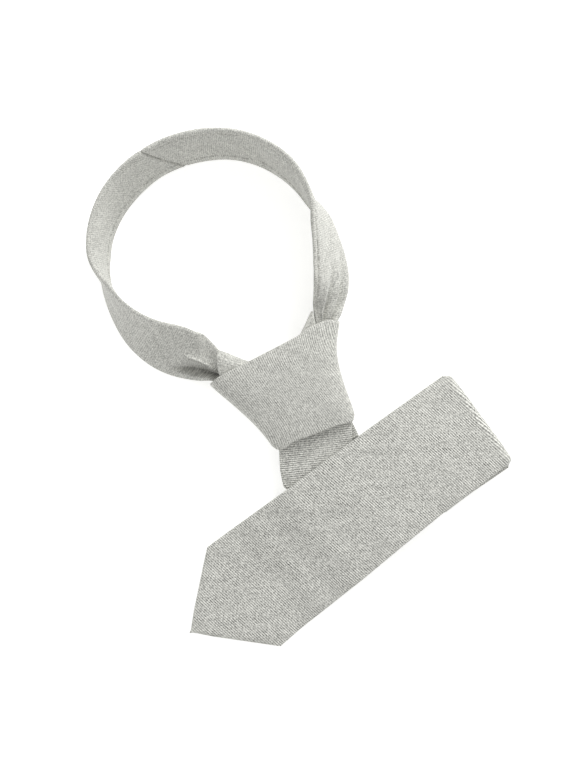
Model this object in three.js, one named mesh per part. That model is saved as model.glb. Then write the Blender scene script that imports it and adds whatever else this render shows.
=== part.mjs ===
// A skinny necktie, already tied, lying on a table with its blade folded back across itself.
// Millimetres, +Z up, the table at z = 0 and the origin under the middle of the whole tie.
//
// A tie is one long ribbon of cloth folded round an interlining, so every piece here is a strip.
// A strip follows a middle surface, place(row, across), and has a rounded edge on each side.
import * as THREE from 'three';

// Driving sizes

const BAND_WIDTH = 30;
const BAND_THICKNESS = 3;
const BAND_THICKNESS_IN_KNOT = 2.2;
const BLADE_THICKNESS = 2.4;
const TAIL_THICKNESS = 2;
const FRONT_WRAP_THICKNESS = 2.2;
const INNER_WRAP_THICKNESS = 2.2;
const CLOTH_GAP = 0.3;
const WRAP_GAP = 0.55;
const LOOP_CENTRE = new THREE.Vector2(-42.7, 61.4);
const KNOT_CENTRE = new THREE.Vector2(-7.9, 1.1);
const KNOT_TURN = THREE.MathUtils.degToRad(23);
const KNOT_ROUNDNESS = 0.62;
const MATERIAL_ROUGHNESS = 0.9;
const CLOTH_COLOUR = 0xbdbeb9;
const INNER_COLOUR = 0xb3b4af;

// Neck band rows, from the knot's left side round the loop to its right side.
// at: bearing from the loop's centre in degrees; foot, rim: radius of the lower and upper edge;
// lift: height of the lower edge; gather: share of the width that the pleats leave.
const BAND_ROWS = [
  { at: 286, foot: 63.5, rim: 55.5, lift: 8.0, gather: 0.33 },
  { at: 276, foot: 58.7, rim: 49.0, lift: 8.3, gather: 0.37 },
  { at: 270, foot: 56.9, rim: 43.0, lift: 7.2, gather: 0.54 },
  { at: 264, foot: 57.2, rim: 38.4, lift: 4.8, gather: 0.78 },
  { at: 257, foot: 57.4, rim: 36.5, lift: 2.4, gather: 0.93 },
  { at: 249, foot: 57.7, rim: 36.1, lift: 1.5, gather: 1 },
  { at: 240, foot: 57.7, rim: 37.2, lift: 1.5, gather: 1 },
  { at: 228, foot: 57.0, rim: 40.4, lift: 1.5, gather: 1 },
  { at: 215, foot: 55.6, rim: 44.2, lift: 1.5, gather: 1 },
  { at: 203, foot: 54.4, rim: 47.8, lift: 1.5, gather: 1 },
  { at: 194, foot: 53.4, rim: 50.4, lift: 1.5, gather: 1 },
  { at: 186, foot: 52.5, rim: 54.7, lift: 1.5, gather: 1 },
  { at: 178, foot: 51.3, rim: 57.8, lift: 1.5, gather: 1 },
  { at: 168, foot: 51.0, rim: 59.3, lift: 1.5, gather: 1 },
  { at: 155, foot: 50.4, rim: 60.3, lift: 1.5, gather: 1 },
  { at: 140, foot: 49.6, rim: 60.9, lift: 1.5, gather: 1 },
  { at: 120, foot: 49.8, rim: 60.9, lift: 1.5, gather: 1 },
  { at: 100, foot: 50.4, rim: 61.3, lift: 1.5, gather: 1 },
  { at: 80, foot: 52.2, rim: 62.2, lift: 1.5, gather: 1 },
  { at: 65, foot: 53.5, rim: 62.1, lift: 1.5, gather: 1 },
  { at: 50, foot: 54.4, rim: 61.0, lift: 1.5, gather: 1 },
  { at: 40, foot: 55.1, rim: 58.7, lift: 1.5, gather: 1 },
  { at: 33, foot: 56.0, rim: 57.0, lift: 1.5, gather: 1 },
  { at: 27, foot: 58.0, rim: 55.0, lift: 1.5, gather: 1 },
  { at: 20, foot: 60.8, rim: 52.4, lift: 1.5, gather: 1 },
  { at: 10, foot: 62.4, rim: 50.9, lift: 1.5, gather: 1 },
  { at: 0, foot: 64.7, rim: 50.5, lift: 1.5, gather: 1 },
  { at: -5, foot: 65.9, rim: 50.9, lift: 1.5, gather: 1 },
  { at: -12, foot: 66.9, rim: 51.8, lift: 1.5, gather: 0.96 },
  { at: -18, foot: 66.9, rim: 53.4, lift: 2.4, gather: 0.79 },
  { at: -22.5, foot: 66.4, rim: 55.4, lift: 4.4, gather: 0.56 },
  { at: -26, foot: 65.2, rim: 57.4, lift: 6.9, gather: 0.36 },
  { at: -30, foot: 66.4, rim: 59.9, lift: 8.2, gather: 0.265 },
  { at: -38, foot: 70.0, rim: 63.4, lift: 8.5, gather: 0.265 },
];

// Bearings between which the knot squeezes the band's padding flat, on each side of the loop.
const SQUEEZE = [
  { from: 252, to: 270 },
  { from: -10, to: -25 },
];

// The diagonal seam that joins the band's two lengths of cloth: bearings at the foot and the rim.
const SEAM_AT_FOOT = 107.7;
const SEAM_AT_RIM = 122.5;

// Pleats that the knot presses into the band. from: bearing where it starts; full: bearing where
// it is deepest; flat: bearing inside the knot where it is pressed out again; across: -1 at the
// foot to 1 at the rim; depth: into the cloth, or out if negative.
const PLEATS = [
  { from: 238, full: 269, flat: 279, across: -0.45, width: 0.34, depth: 3.0 },
  { from: 232, full: 262, flat: 276, across: 0.35, width: 0.5, depth: -1.0 },
  { from: 6, full: -22, flat: -31, across: -0.35, width: 0.3, depth: 1.8 },
  { from: 10, full: -22, flat: -31, across: 0.3, width: 0.24, depth: 1.5 },
  { from: 14, full: -20, flat: -31, across: 0.0, width: 0.24, depth: -0.9 },
];

// Knot outline across its own axis, by height along that axis, and the depth of its front.
const KNOT_LEVELS = [
  { along: -29, left: -16.9, right: 26.9, front: 14.6 },
  { along: -21, left: -17.7, right: 27.1, front: 16.4 },
  { along: -11, left: -20.9, right: 27.6, front: 18.2 },
  { along: 0, left: -25.8, right: 29.2, front: 19.6 },
  { along: 7, left: -29.4, right: 31.3, front: 20.0 },
  { along: 14, left: -33.1, right: 35.2, front: 20.1 },
  { along: 21, left: -36.6, right: 40.2, front: 20.0 },
  { along: 30, left: -40.5, right: 44.0, front: 19.6 },
];

// The front wrap's two edges, by the share of the way from the knot's left side to its right.
const WRAP_TOP_EDGE = [
  { share: 0, along: 14.6 },
  { share: 0.1, along: 16.0 },
  { share: 0.32, along: 17.0 },
  { share: 0.685, along: 19.1 },
  { share: 0.78, along: 20.7 },
  { share: 0.9, along: 20.8 },
  { share: 1, along: 18.2 },
];
const WRAP_BOTTOM_EDGE = [
  { share: 0, along: -25.5 },
  { share: 0.03, along: -27.8 },
  { share: 0.1, along: -28.7 },
  { share: 0.24, along: -27.5 },
  { share: 0.5, along: -28.0 },
  { share: 0.76, along: -28.3 },
  { share: 0.96, along: -29.4 },
  { share: 1, along: -27.3 },
];

// The inner wrap's rolled rim: a valley between the two ends of the band.
const INNER_RIM = [
  { across: -22.0, along: 28.1 },
  { across: -10.3, along: 16.6 },
  { across: 2.5, along: 14.0 },
  { across: 15.5, along: 18.4 },
  { across: 21.1, along: 22.6 },
  { across: 25.5, along: 27.2 },
];
const INNER_FOOT = { left: -21, right: 14, along: 4 };
const INNER_BULGE = { left: -4, right: 3 };
const INNER_ROLL = 3.4;
const INNER_FLAP_SHARE = 0.36;
const INNER_SIDE_LIMIT = 0.98;

// Front blade rows, from inside the knot to the tip: upper (left) and lower (right) outline,
// and the height of the middle of the cloth at each. fold: the cloth turns back from this row
// to the next. steps: lengths from this row to the next.
const BLADE_ROWS = [
  { name: 'in the knot', left: [-16.2, -12.5, 9.6], right: [15.9, -1.8, 9.6], steps: 2 },
  { name: 'nearing the rim', left: [-13.3, -21.7, 9.2], right: [21.2, -9.6, 9.2], steps: 2 },
  { name: 'knot rim', left: [-10.0, -29.5, 8.6], right: [25.5, -17.6, 8.6], steps: 3 },
  { name: 'tab', left: [-9.4, -40.3, 7.3], right: [25.9, -28.1, 7.3], steps: 4 },
  { name: 'first fold', left: [-8.3, -46.0, 6.2], right: [42.3, -74.9, 6.2], steps: 6, fold: true },
  { name: 'under layer', left: [-8.3, -46.0, 3.5], right: [42.3, -74.9, 3.5], steps: 3 },
  { name: 'off the tail', left: [35.5, -25.8, 3.5], right: [71.7, -60.9, 3.5], steps: 3 },
  { name: 'on the table', left: [50.3, -13.1, 1.2], right: [84.9, -51.3, 1.2], steps: 1 },
  { name: 'second fold', left: [70.0, 4.4, 1.2], right: [102.5, -39.2, 1.2], steps: 10, fold: true },
  { name: 'top layer', left: [70.0, 5.0, 6.4], right: [101.8, -37.8, 6.4], steps: 4 },
  { name: 'past the tab', left: [35.3, -19.6, 10.1], right: [71.3, -60.8, 7.4], steps: 2 },
  { name: 'over the tab', left: [14.9, -34.3, 10.1], right: [51.3, -77.5, 8.9], steps: 2 },
  { name: 'over the corner', left: [-4.5, -48.5, 9.4], right: [32.4, -92.4, 7.4], steps: 3 },
  { name: 'falling', left: [-21.6, -61.0, 4.8], right: [15.0, -106.6, 3.8], steps: 3 },
  { name: 'nearly down', left: [-34.9, -70.7, 1.7], right: [1.3, -117.6, 1.5], steps: 1 },
  { name: 'shoulders', left: [-45.1, -78.2, 1.2], right: [-9.3, -126.5, 1.2], steps: 6 },
  { name: 'tip', left: [-53.5, -119.8, 1.2], right: [-53.1, -120.3, 1.2], steps: 0 },
];

// Tail rows in the knot's frame: height along its axis, both edges across it, height above the table.
const TAIL_ROWS = [
  { along: -6, left: -7.0, right: 19.0, height: 6.0, steps: 2 },
  { along: -20, left: -8.5, right: 22.0, height: 6.0, steps: 2 },
  { along: -29, left: -9.4, right: 24.0, height: 5.8, steps: 3 },
  { along: -36.5, left: -9.6, right: 24.3, height: 4.9, steps: 4 },
  { along: -41.5, left: -9.8, right: 24.4, height: 1.0, steps: 3 },
  { along: -71, left: -10.2, right: 24.8, height: 1.0, steps: 4 },
  { along: -88, left: 7.1, right: 7.5, height: 1.0, steps: 0 },
];

// A short step on a surface, as a share of its length or width, to find which way it faces.
const SURFACE_STEP = 1e-3;

// A pointed end keeps this share of its thickness, and thins out over this share of its last rows.
const POINT_THICKNESS = 0.25;
const POINT_TAPER = 0.25;

// The most of a narrow row's width that its rounded edges take on each side.
const EDGE_SHARE_LIMIT = 0.45;

// Small helpers

const mix = (from, to, share) => from + (to - from) * share;

const clampShare = (value) => Math.min(1, Math.max(0, value));

function smooth(value) {
  const share = clampShare(value);
  return share * share * (3 - 2 * share);
}

// The slope of a column at one row, from its two neighbours.
function slopeAt(rows, key, column, index) {
  const before = rows[Math.max(0, index - 1)];
  const after = rows[Math.min(rows.length - 1, index + 1)];
  return (after[column] - before[column]) / (after[key] - before[key]);
}

// A smooth curve through one column of a table, read at a value of its key column.
function readTable(rows, key, column, value) {
  const direction = Math.sign(rows[1][key] - rows[0][key]);
  let index = rows.findIndex((row) => (row[key] - value) * direction > 0) - 1;
  if (index === -2) index = rows.length - 2;
  index = Math.max(0, index);
  const [low, high] = [rows[index], rows[index + 1]];
  const span = high[key] - low[key];
  const t = (value - low[key]) / span;
  const startSlope = slopeAt(rows, key, column, index) * span;
  const endSlope = slopeAt(rows, key, column, index + 1) * span;
  const rise = high[column] - low[column];
  const bend = (startSlope - rise) * (1 - t) + (rise - endSlope) * t;
  return mix(low[column], high[column], t) + t * (1 - t) * bend;
}

function polar(radius, bearing, height) {
  const angle = THREE.MathUtils.degToRad(bearing);
  const x = LOOP_CENTRE.x + radius * Math.cos(angle);
  const y = LOOP_CENTRE.y + radius * Math.sin(angle);
  return new THREE.Vector3(x, y, height);
}

// A point of the knot's own frame: across its axis, along its axis, and above the table.
function fromKnot(across, along, height) {
  const turned = new THREE.Vector2(across, along).rotateAround(new THREE.Vector2(), KNOT_TURN);
  return new THREE.Vector3(KNOT_CENTRE.x + turned.x, KNOT_CENTRE.y + turned.y, height);
}

// A strip of cloth. place(row, across) is its middle surface, with row from 0 to 1 and across
// from -1 to 1; halfThickness(row) is the radius of its rounded edges. A closed strip is a ring.
function strip({ name, place, halfThickness, rows, columns, edge = 3, closed = false, colour }) {
  const geometry = new THREE.BoxGeometry(2, 2, 1, columns, edge, rows);
  const position = geometry.getAttribute('position');
  for (let i = 0; i < position.count; i += 1) {
    const across = position.getX(i);
    const turn = (position.getY(i) * Math.PI) / 2;
    const step = Math.round((position.getZ(i) + 0.5) * rows);
    const row = (closed ? step % rows : step) / rows;
    const middle = place(row, across);
    const ahead = place(closed ? row + SURFACE_STEP : Math.min(1, row + SURFACE_STEP), across);
    const behind = place(closed ? row - SURFACE_STEP : Math.max(0, row - SURFACE_STEP), across);
    const lengthwise = ahead.sub(behind);
    const crosswise = place(row, Math.min(1, across + SURFACE_STEP));
    crosswise.sub(place(row, Math.max(-1, across - SURFACE_STEP))).normalize();
    const normal = lengthwise.cross(crosswise).normalize();
    const radius = halfThickness(row);
    middle.addScaledVector(crosswise, across * radius * Math.cos(turn));
    middle.addScaledVector(normal, radius * Math.sin(turn));
    position.setXYZ(i, middle.x, middle.y, middle.z);
  }
  if (closed) {
    const caps = geometry.groups[4].start;
    geometry.setIndex(Array.from(geometry.index.array.subarray(0, caps)));
  }
  geometry.clearGroups();
  geometry.computeVertexNormals();
  const material = new THREE.MeshStandardMaterial({ color: colour, roughness: MATERIAL_ROUGHNESS });
  const mesh = new THREE.Mesh(geometry, material);
  mesh.name = name;
  return mesh;
}

// Neck band

const bandColumn = (column, bearing) => readTable(BAND_ROWS, 'at', column, bearing);

// How far the pleats push the cloth towards the inside of the loop.
function pleatDepth(bearing, across) {
  let depth = 0;
  for (const pleat of PLEATS) {
    const grown = smooth((bearing - pleat.from) / (pleat.full - pleat.from));
    const pressed = smooth((bearing - pleat.full) / (pleat.flat - pleat.full));
    const away = (across - pleat.across) / pleat.width;
    depth += pleat.depth * grown * (1 - pressed) * Math.exp(-away * away);
  }
  return depth;
}

// The band's middle surface at a bearing: a leaning wall from its foot to its rim.
function bandPoint(bearing, across) {
  const footRadius = bandColumn('foot', bearing);
  const rimRadius = bandColumn('rim', bearing);
  const lift = Math.max(BAND_THICKNESS / 2, bandColumn('lift', bearing));
  const width = (BAND_WIDTH - BAND_THICKNESS) * bandColumn('gather', bearing);
  const run = rimRadius - footRadius;
  const rise = Math.sqrt(Math.max(0, width * width - run * run));
  const share = (across + 1) / 2;
  const depth = pleatDepth(bearing, across);
  const radius = mix(footRadius, rimRadius, share) - (depth * rise) / width;
  const height = mix(lift, lift + rise, share) + (depth * run) / width;
  return polar(radius, bearing, height);
}

function seamBearing(across) {
  return mix(SEAM_AT_FOOT, SEAM_AT_RIM, (across + 1) / 2);
}

// Rows crowd together where the pleats are, so the bearing follows the table's own spacing.
function tableBearing(position) {
  const index = Math.min(BAND_ROWS.length - 2, Math.floor(position));
  return mix(BAND_ROWS[index].at, BAND_ROWS[index + 1].at, position - index);
}

// The knot squeezes the band's padding flat over its last stretch on each side.
function bandHalfThickness(bearing) {
  const stretches = SQUEEZE.map(({ from, to }) => smooth((bearing - from) / (to - from)));
  const squeezed = Math.max(...stretches);
  return mix(BAND_THICKNESS, BAND_THICKNESS_IN_KNOT, squeezed) / 2;
}

function neckBand(name, seamFirst, rows) {
  const seamRow = BAND_ROWS.findIndex((row) => row.at < (SEAM_AT_FOOT + SEAM_AT_RIM) / 2);
  const lastRow = BAND_ROWS.length - 1;
  const gapBearing = THREE.MathUtils.radToDeg(CLOTH_GAP / 2 / bandColumn('foot', SEAM_AT_FOOT));
  const start = seamFirst ? seamRow : 0;
  const end = seamFirst ? lastRow : seamRow;
  const bearingAt = (row) => tableBearing(mix(start, end, row));
  const place = (row, across) => {
    const plain = bearingAt(row);
    const nearSeam = seamFirst ? 1 - row : row;
    const cut = seamBearing(across) + (seamFirst ? -gapBearing : gapBearing);
    const shift = cut - tableBearing(seamRow);
    return bandPoint(plain + shift * smooth(nearSeam * 2 - 1), across);
  };
  const halfThickness = (row) => bandHalfThickness(bearingAt(row));
  return strip({ name, place, halfThickness, rows, columns: 10, colour: CLOTH_COLOUR });
}

// Knot

const knotColumn = (column, along) => readTable(KNOT_LEVELS, 'along', column, along);

// A rounded box section: cosine and sine flattened towards a square.
function squared(value) {
  return Math.sign(value) * Math.abs(value) ** KNOT_ROUNDNESS;
}

// The front wrap's middle surface, by the angle round the knot and the share up its side.
function wrapPoint(angle, share) {
  const half = FRONT_WRAP_THICKNESS / 2;
  const side = squared(Math.cos(angle));
  const fromLeft = (side + 1) / 2;
  const bottom = readTable(WRAP_BOTTOM_EDGE, 'share', 'along', fromLeft) + half;
  const top = readTable(WRAP_TOP_EDGE, 'share', 'along', fromLeft) - half;
  const along = mix(bottom, top, share);
  const left = knotColumn('left', along) + half;
  const right = knotColumn('right', along) - half;
  const middle = knotColumn('front', along) / 2;
  const height = middle + (middle - half) * squared(Math.sin(angle));
  return fromKnot(mix(left, right, fromLeft), along, height);
}

function frontWrap() {
  return strip({
    name: 'knot_front_wrap',
    place: (row, across) => wrapPoint(row * Math.PI * 2, (across + 1) / 2),
    halfThickness: () => FRONT_WRAP_THICKNESS / 2,
    rows: 44,
    columns: 8,
    closed: true,
    colour: CLOTH_COLOUR,
  });
}

// Half the clear depth inside the front wrap for a layer laid against it, at one place.
function insideDepth(across, along) {
  const half = FRONT_WRAP_THICKNESS / 2;
  const left = knotColumn('left', along) + half;
  const right = knotColumn('right', along) - half;
  const fromMiddle = Math.abs(across - (left + right) / 2) / ((right - left) / 2);
  const side = Math.min(INNER_SIDE_LIMIT, fromMiddle);
  const rounded = (1 - side ** (2 / KNOT_ROUNDNESS)) ** (KNOT_ROUNDNESS / 2);
  const between = (FRONT_WRAP_THICKNESS + INNER_WRAP_THICKNESS) / 2 + WRAP_GAP;
  return (knotColumn('front', along) / 2 - half) * rounded - between;
}

// The inner wrap is a saddle: a flap in front, a roll over the band's ends, and a flap behind.
function innerWrapPoint(row, across) {
  const fromLeft = (across + 1) / 2;
  const half = INNER_WRAP_THICKNESS / 2;
  const rimAcross = mix(INNER_RIM[0].across, INNER_RIM[INNER_RIM.length - 1].across, fromLeft);
  const rimAlong = readTable(INNER_RIM, 'across', 'along', rimAcross) - half;
  const footAcross = mix(INNER_FOOT.left, INNER_FOOT.right, fromLeft);
  const rolling = clampShare((row - INNER_FLAP_SHARE) / (1 - 2 * INNER_FLAP_SHARE)) * Math.PI;
  const up = clampShare(Math.min(row, 1 - row) / INNER_FLAP_SHARE);
  const flapTop = rimAlong - INNER_ROLL;
  const along = mix(INNER_FOOT.along, flapTop, up) + INNER_ROLL * Math.sin(rolling);
  const climb = (along - INNER_FOOT.along) / (rimAlong - INNER_FOOT.along);
  const bulge = mix(INNER_BULGE.left, INNER_BULGE.right, fromLeft) * Math.sin(climb * Math.PI);
  const sideways = mix(footAcross, rimAcross, climb) + bulge * Math.abs(across);
  const middle = knotColumn('front', along) / 2;
  const height = middle + insideDepth(sideways, along) * Math.cos(rolling);
  return fromKnot(sideways, along, height);
}

function innerWrap() {
  return strip({
    name: 'knot_inner_wrap',
    place: (row, across) => innerWrapPoint(1 - row, across),
    halfThickness: () => INNER_WRAP_THICKNESS / 2,
    rows: 22,
    columns: 12,
    colour: INNER_COLOUR,
  });
}

// Blades

const outlinePoint = (list) => new THREE.Vector3(...list);

// The middle surface between two rows of outline, with each edge set in by half the thickness.
function layerPoint(left, right, across, half) {
  const width = left.distanceTo(right);
  const inset = Math.min(half, width * EDGE_SHARE_LIMIT) / width;
  return left.clone().lerp(right, mix(inset, 1 - inset, (across + 1) / 2));
}

// Where the cloth turns back, it follows half a circle that stands on the fold line.
function foldPoint(flat, row, next, before, share) {
  const radius = Math.abs(next.left[2] - row.left[2]) / 2;
  const middle = (next.left[2] + row.left[2]) / 2;
  const line = outlinePoint(row.right).sub(outlinePoint(row.left)).setZ(0).normalize();
  const outward = new THREE.Vector3(-line.y, line.x, 0);
  const travel = outlinePoint(row.left).sub(outlinePoint(before.left));
  if (outward.dot(travel) < 0) outward.negate();
  const climb = Math.sign(next.left[2] - row.left[2]);
  const point = flat.addScaledVector(outward, radius * Math.sin(share * Math.PI));
  return point.setZ(middle - climb * radius * Math.cos(share * Math.PI));
}

// One place on a ribbon that is given as rows of outline, at a distance counted in steps.
function ribbonPoint(table, steps, across, half) {
  let index = 0;
  let done = 0;
  while (index < table.length - 2 && steps >= done + table[index].steps) {
    done += table[index].steps;
    index += 1;
  }
  const [row, next] = [table[index], table[index + 1]];
  const share = (steps - done) / row.steps;
  const left = outlinePoint(row.left).lerp(outlinePoint(next.left), share);
  const right = outlinePoint(row.right).lerp(outlinePoint(next.right), share);
  left.z = mix(row.left[2], next.left[2], smooth(share));
  right.z = mix(row.right[2], next.right[2], smooth(share));
  const flat = layerPoint(left, right, across, half);
  return row.fold ? foldPoint(flat, row, next, table[index - 1], share) : flat;
}

// The edges thin out towards a pointed end, so that its last row still closes.
function taperedHalf(table, steps, half) {
  const last = table[table.length - 2].steps;
  const total = table.reduce((sum, row) => sum + row.steps, 0);
  const left = clampShare((total - steps) / last);
  return half * mix(POINT_THICKNESS, 1, clampShare(left / POINT_TAPER));
}

function blade(name, table, thickness, columns, colour) {
  const total = table.reduce((sum, row) => sum + row.steps, 0);
  const half = thickness / 2;
  return strip({
    name,
    place: (row, across) => ribbonPoint(table, row * total, across, half),
    halfThickness: (row) => taperedHalf(table, row * total, half),
    rows: total,
    columns,
    colour,
  });
}

// The tail's table is in the knot's frame, so each row is turned into a pair of outline points.
function tailTable() {
  return TAIL_ROWS.map((row) => ({
    left: fromKnot(row.left, row.along, row.height).toArray(),
    right: fromKnot(row.right, row.along, row.height).toArray(),
    steps: row.steps,
  }));
}

const tie = new THREE.Group();
tie.add(neckBand('neck_band_left', false, 34));
tie.add(neckBand('neck_band_right', true, 34));
tie.add(innerWrap());
tie.add(frontWrap());
tie.add(blade('front_blade', BLADE_ROWS, BLADE_THICKNESS, 8, CLOTH_COLOUR));
tie.add(blade('tail_blade', tailTable(), TAIL_THICKNESS, 6, INNER_COLOUR));

export default tie;
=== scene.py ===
# %% [markdown]
# # A skinny necktie, already tied
#
# This lesson builds a light grey twill necktie that lies on a table, seen from straight above.
# Its neck loop stands half on edge, and its blade is folded back across itself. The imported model
# gives each piece its place and size. It could be shown as it is, but its solids are plain and
# faceted, so every piece is remade here as finer cloth along nearly the same path. Beside the knot
# the neck band is up to 3 mm wider than its solid.

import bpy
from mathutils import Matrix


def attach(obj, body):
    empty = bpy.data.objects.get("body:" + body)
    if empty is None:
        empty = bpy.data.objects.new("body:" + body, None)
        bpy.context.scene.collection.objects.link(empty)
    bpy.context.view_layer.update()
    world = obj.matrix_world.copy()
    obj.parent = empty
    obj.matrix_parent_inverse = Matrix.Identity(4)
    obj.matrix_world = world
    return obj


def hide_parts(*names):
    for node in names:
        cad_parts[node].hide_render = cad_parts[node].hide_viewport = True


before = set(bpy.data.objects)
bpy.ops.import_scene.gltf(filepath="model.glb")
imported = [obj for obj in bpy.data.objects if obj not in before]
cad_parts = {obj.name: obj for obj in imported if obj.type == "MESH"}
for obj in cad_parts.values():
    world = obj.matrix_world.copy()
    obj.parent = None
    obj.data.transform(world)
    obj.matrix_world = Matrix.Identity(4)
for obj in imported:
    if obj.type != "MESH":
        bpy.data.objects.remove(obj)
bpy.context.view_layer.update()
print("packed pieces:", sorted(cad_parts))

# %% Bring in the libraries
import math

import bmesh
import bpy
import numpy as np

MM = 0.001
scene = bpy.context.scene
print("Blender", bpy.app.version_string)

# %% [markdown]
# ## Camera
#
# The tie is pictured from straight above. A camera that looks down needs no turn in Blender,
# because an unturned camera looks along -Z with +Y up. It could be an orthographic one, but a
# real lens stands at some height, and then the raised knot looks slightly larger than the flat
# blade.

# %% Set up the camera
CAMERA_ABOVE = (-0.0055, 0.0016)
CAMERA_HEIGHT = 1.150
VIEW_TALL = 0.37632
SENSOR_TALL = 36.0

camera_data = bpy.data.cameras.new("camera")
camera_data.sensor_fit = "VERTICAL"
camera_data.sensor_height = SENSOR_TALL
camera_data.lens = SENSOR_TALL * CAMERA_HEIGHT / VIEW_TALL
camera = bpy.data.objects.new("camera", camera_data)
camera.location = (*CAMERA_ABOVE, CAMERA_HEIGHT)
scene.collection.objects.link(camera)
bpy.context.scene.camera = camera
print(f"lens {camera_data.lens:.1f} mm at {CAMERA_HEIGHT} m")

# %% [markdown]
# ## Reading a table as a smooth curve
#
# The paths of the tie are short tables: a width here, a height there. A straight line between the
# rows would show as kinks in the cloth. A cubic through them, whose slope at each row comes from
# its two neighbours, bends as a strip of cloth does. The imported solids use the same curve.

# %% Helper: a smooth curve through a table
def read_curve(keys, values, at):
    slopes = np.empty_like(values)
    slopes[1:-1] = (values[2:] - values[:-2]) / (keys[2:] - keys[:-2])
    slopes[0] = (values[1] - values[0]) / (keys[1] - keys[0])
    slopes[-1] = (values[-1] - values[-2]) / (keys[-1] - keys[-2])
    way = np.sign(keys[1] - keys[0])
    low = np.clip(np.searchsorted(keys * way, at * way, side="right") - 1, 0, len(keys) - 2)
    span = keys[low + 1] - keys[low]
    share = (at - keys[low]) / span
    rise = values[low + 1] - values[low]
    early = (slopes[low] * span - rise) * (1 - share)
    late = (rise - slopes[low + 1] * span) * share
    return values[low] + rise * share + share * (1 - share) * (early + late)


def mix(start, end, share):
    return start + (end - start) * share


def smooth(value):
    share = np.clip(value, 0, 1)
    return share * share * (3 - 2 * share)


print("halfway along 0, 1, 4:", read_curve(np.array([0.0, 1, 2]), np.array([0.0, 1, 4]), 1.5))

# %% [markdown]
# ## One strip of cloth
#
# A tie is a long ribbon: a twill shell folded round a soft interlining. So every piece here is
# one grid, wrapped round the ribbon's section once and joined to itself along one edge. The piece
# could be a flat sheet with a Solidify modifier, but then its folded edges would be square
# instead of softly rolled.
#
# The way round the section is a list of places, with two numbers each: how far across the ribbon,
# from -1 to 1, and which way the cloth faces there, from 90 degrees on its front to -90 on its
# back. Both are worked out from how many steps go across and how many round each edge. The steps
# across get shorter towards the edges, where pleats and folds are tightest.

# %% Helper: the way round the section
def way_round(columns, edge_steps):
    across = -np.cos(np.linspace(0, math.pi, columns + 1))
    turn = np.linspace(1, -1, edge_steps + 1) * math.pi / 2
    front = [(a, turn[0]) for a in across]
    right = [(1.0, t) for t in turn[1:]]
    back = [(a, turn[-1]) for a in across[::-1][1:]]
    left = [(-1.0, t) for t in turn[::-1][1:-1]]
    return np.array(front + right + back + left + front[:1])


print("points round a section of 60 columns:", len(way_round(60, 8)))

# %% [markdown]
# Rows of the grid should be close together where the cloth turns, and can be further apart where
# it is flat. So the helper walks the middle line once and spaces the rows by the length walked
# plus a little for each bit of turning.

# %% Helper: rows along a path
ROW_SPACING = 0.7
# One radian of turning counts as this many millimetres of length.
TURN_WORTH = 4.0
FINE_STEPS = 3000
LEAST_LENGTH = 1e-9


def even_rows(place):
    fine = np.linspace(0, 1, FINE_STEPS + 1)
    path = place(fine[:, None], np.zeros((1, 1)))[:, 0]
    steps = np.diff(path, axis=0)
    lengths = np.maximum(np.linalg.norm(steps, axis=1), LEAST_LENGTH)
    ways = steps / lengths[:, None]
    bends = np.arccos(np.clip(np.sum(ways[1:] * ways[:-1], axis=1), -1, 1))
    worth = lengths + TURN_WORTH * np.append(bends, 0)
    walked = np.append(0, np.cumsum(worth))
    count = int(walked[-1] / ROW_SPACING)
    return np.interp(np.linspace(0, walked[-1], count + 1), walked, fine), lengths.sum()


# %% [markdown]
# ### Laying the weave on the cloth
#
# The weave has to follow the cloth, not the room, so each piece gets a UV map in metres of flat
# cloth. A ribbon that only bends can be rolled out flat without stretching. The helper does that:
# it lays one crosswise line after another in the plane, keeping all the distances between their
# ends. The anchor says how far along the piece its flat cloth points straight up the map.

# %% Helper: roll the cloth out flat
def place_by_distances(a, b, to_a, to_b):
    base = b - a
    width = np.linalg.norm(base)
    along = (to_a**2 - to_b**2 + width**2) / (2 * width)
    up = math.sqrt(max(to_a**2 - along**2, 0))
    base = base / width
    return a + base * along + up * np.array([-base[1], base[0]])


def roll_out(left, right, anchor):
    flat_left = np.zeros((len(left), 2))
    flat_right = np.zeros((len(left), 2))
    flat_right[0] = (np.linalg.norm(right[0] - left[0]), 0)
    for i in range(len(left) - 1):
        a, b = flat_left[i], flat_right[i]
        next_a = place_by_distances(
            a, b, np.linalg.norm(left[i + 1] - left[i]), np.linalg.norm(left[i + 1] - right[i]))
        next_b = place_by_distances(
            next_a, b, np.linalg.norm(right[i + 1] - left[i + 1]),
            np.linalg.norm(right[i + 1] - right[i]))
        flat_left[i + 1], flat_right[i + 1] = next_a, next_b
    middle = (flat_left + flat_right) / 2
    row = min(int(anchor * (len(left) - 1)), len(left) - 2)
    travel = middle[row + 1] - middle[row]
    turn = math.atan2(travel[0], travel[1])
    spin = np.array([[math.cos(turn), math.sin(turn)], [-math.sin(turn), math.cos(turn)]])
    centre = middle[row]
    return (flat_left - centre) @ spin, (flat_right - centre) @ spin


# %% [markdown]
# ### Building the strip
#
# `place` gives the middle of the ribbon and `half` its half thickness. The grid's points are
# moved out from the middle along the cloth's normal, which comes from two small steps on the
# surface. `relief` adds what the needle, the iron and the knot leave on the two faces: laps,
# pressed lines, pleats and soft swells. `edge_share` is how thick the cloth is at its edges, as a
# share of its middle, and `closing` rolls in an end. A point that would go below the table is
# pressed flat on it, and the upper face stays a little above the lower one there.
#
# The flat place of each point is read between two tracks just inside the edges, because a fold's
# corners die away at the very edge and would pull the map askew. The back of the cloth takes the
# front's place mirrored, so that the twill leans the same way on both faces.

# %% Helper: build a strip of cloth
SWELL_HEIGHT = 0.05
SWELL_WAVES = [
    # millimetres for each radian of the wave, in x, y and z
    (3.1, 7.3, 4),
    (6.7, -4.9, 3),
]
# The cloth thins towards its edges with this power of the place across.
EDGE_POWER = 6
# The small step that finds the normal, as a share of the strip's length or half width.
NUDGE = 1e-3
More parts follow.
